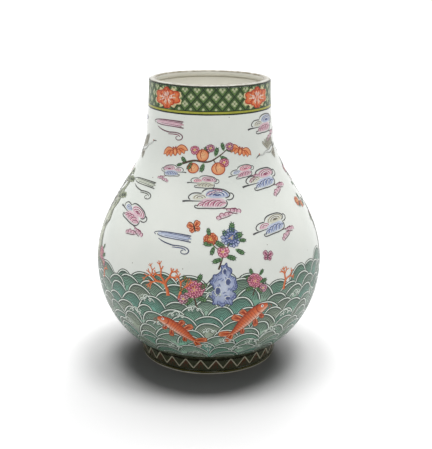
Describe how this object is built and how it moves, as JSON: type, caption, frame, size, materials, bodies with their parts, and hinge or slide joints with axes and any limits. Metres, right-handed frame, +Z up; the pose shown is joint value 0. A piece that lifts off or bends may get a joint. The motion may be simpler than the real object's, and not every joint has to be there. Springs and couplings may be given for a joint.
{
  "type": "pear-shaped vase",
  "caption": "Broad pear-shaped porcelain vase with a short wide neck, a rolled open mouth and a low foot ring, painted all round in coloured enamels.",
  "frame": {"origin": "centre of the foot ring's resting plane, on the vase's axis", "axes": "+Z up along the vase's axis of revolution; -Y towards the side that the picture shows"},
  "size_m": [0.2564, 0.2564, 0.32],
  "materials": {
    "foot_enamel": "dark olive enamel with pale and maroon triangles, glossy",
    "wave_enamel": "washed green enamel over clear glaze, glossy",
    "porcelain_glaze": "cool white clear-glazed porcelain, glossy",
    "band_enamel": "green lattice enamel over clear glaze, glossy",
    "rim_glaze": "ivory glaze with worn gilding, glossy",
    "slip_clay": "fired white clay slip, matt"
  },
  "bodies": {
    "root": {"foot_ring": "foot_enamel", "lower_body": "wave_enamel", "upper_body": "porcelain_glaze", "neck": "band_enamel", "mouth_rim": "rim_glaze", "foot_slip": "slip_clay", "belly_slip": "slip_clay", "neck_slip": "slip_clay", "rim_slip": "slip_clay"}
  },
  "joints": []
}
